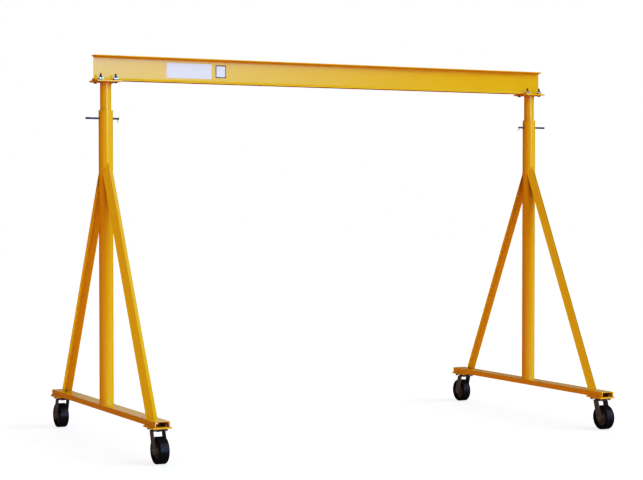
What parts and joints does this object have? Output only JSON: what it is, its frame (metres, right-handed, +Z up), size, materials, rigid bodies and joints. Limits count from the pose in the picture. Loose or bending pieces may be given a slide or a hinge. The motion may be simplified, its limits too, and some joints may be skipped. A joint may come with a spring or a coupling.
{
  "type": "adjustable gantry crane",
  "caption": "Steel gantry crane with a rolled beam on two telescoping masts, braced A-frame legs, height pins and swivel casters.",
  "frame": {"origin": "on the floor, midway between the two legs and midway between front and rear casters", "axes": "+X along the beam, +Y from front to back, +Z up"},
  "size_m": [4.437, 2.492, 3.135],
  "materials": {
    "crane_paint": "satin safety yellow paint",
    "zinc_bolt": "bright zinc plate",
    "pin_steel": "plain bright steel bar",
    "clip_wire": "zinc plated spring wire",
    "caster_steel": "dark satin paint",
    "tyre": "smooth dark rubber tread",
    "wheel_core": "dark painted casting"
  },
  "bodies": {
    "legs": {"left_outer_mast": "crane_paint", "left_base_channel": "crane_paint", "left_height_pin": "pin_steel", "left_pin_clip": "clip_wire", "left_caster_bolts": "zinc_bolt", "left_front_brace": "crane_paint", "left_front_caster_pad": "crane_paint", "left_front_caster_plate": "caster_steel", "left_rear_brace": "crane_paint", "left_rear_caster_pad": "crane_paint", "left_rear_caster_plate": "caster_steel", "right_outer_mast": "crane_paint", "right_base_channel": "crane_paint", "right_height_pin": "pin_steel", "right_pin_clip": "clip_wire", "right_caster_bolts": "zinc_bolt", "right_front_brace": "crane_paint", "right_front_caster_pad": "crane_paint", "right_front_caster_plate": "caster_steel", "right_rear_brace": "crane_paint", "right_rear_caster_pad": "crane_paint", "right_rear_caster_plate": "caster_steel"},
    "bridge": {"beam": "crane_paint", "left_top_plate": "crane_paint", "left_clamp_bolts": "zinc_bolt", "left_inner_mast": "crane_paint", "right_top_plate": "crane_paint", "right_clamp_bolts": "zinc_bolt", "right_inner_mast": "crane_paint"},
    "left_front_swivel": {"left_front_fork": "caster_steel", "left_front_axle": "caster_steel"},
    "left_front_wheel": {"left_front_tyre": "tyre", "left_front_wheel_core": "wheel_core"},
    "left_rear_swivel": {"left_rear_fork": "caster_steel", "left_rear_axle": "caster_steel"},
    "left_rear_wheel": {"left_rear_tyre": "tyre", "left_rear_wheel_core": "wheel_core"},
    "right_front_swivel": {"right_front_fork": "caster_steel", "right_front_axle": "caster_steel"},
    "right_front_wheel": {"right_front_tyre": "tyre", "right_front_wheel_core": "wheel_core"},
    "right_rear_swivel": {"right_rear_fork": "caster_steel", "right_rear_axle": "caster_steel"},
    "right_rear_wheel": {"right_rear_tyre": "tyre", "right_rear_wheel_core": "wheel_core"}
  },
  "joints": [
    {"name": "mast_height", "type": "slide", "parent": "legs", "child": "bridge", "axis": [0, 0, 1], "range_m": [0, 0.9144]},
    {"name": "left_front_caster_turn", "type": "hinge", "parent": "legs", "child": "left_front_swivel", "pos_m": [-2.0485, -1.096, 0.2465], "axis": [0, 0, 1], "continuous": true},
    {"name": "left_front_wheel_roll", "type": "hinge", "parent": "left_front_swivel", "child": "left_front_wheel", "pos_m": [-2.0485, -1.143, 0.103], "axis": [1, 0, 0], "continuous": true},
    {"name": "left_rear_caster_turn", "type": "hinge", "parent": "legs", "child": "left_rear_swivel", "pos_m": [-2.0485, 1.096, 0.2465], "axis": [0, 0, 1], "continuous": true},
    {"name": "left_rear_wheel_roll", "type": "hinge", "parent": "left_rear_swivel", "child": "left_rear_wheel", "pos_m": [-2.0485, 1.143, 0.103], "axis": [1, 0, 0], "continuous": true},
    {"name": "right_front_caster_turn", "type": "hinge", "parent": "legs", "child": "right_front_swivel", "pos_m": [2.0485, -1.096, 0.2465], "axis": [0, 0, 1], "continuous": true},
    {"name": "right_front_wheel_roll", "type": "hinge", "parent": "right_front_swivel", "child": "right_front_wheel", "pos_m": [2.0485, -1.143, 0.103], "axis": [1, 0, 0], "continuous": true},
    {"name": "right_rear_caster_turn", "type": "hinge", "parent": "legs", "child": "right_rear_swivel", "pos_m": [2.0485, 1.096, 0.2465], "axis": [0, 0, 1], "continuous": true},
    {"name": "right_rear_wheel_roll", "type": "hinge", "parent": "right_rear_swivel", "child": "right_rear_wheel", "pos_m": [2.0485, 1.143, 0.103], "axis": [1, 0, 0], "continuous": true}
  ]
}
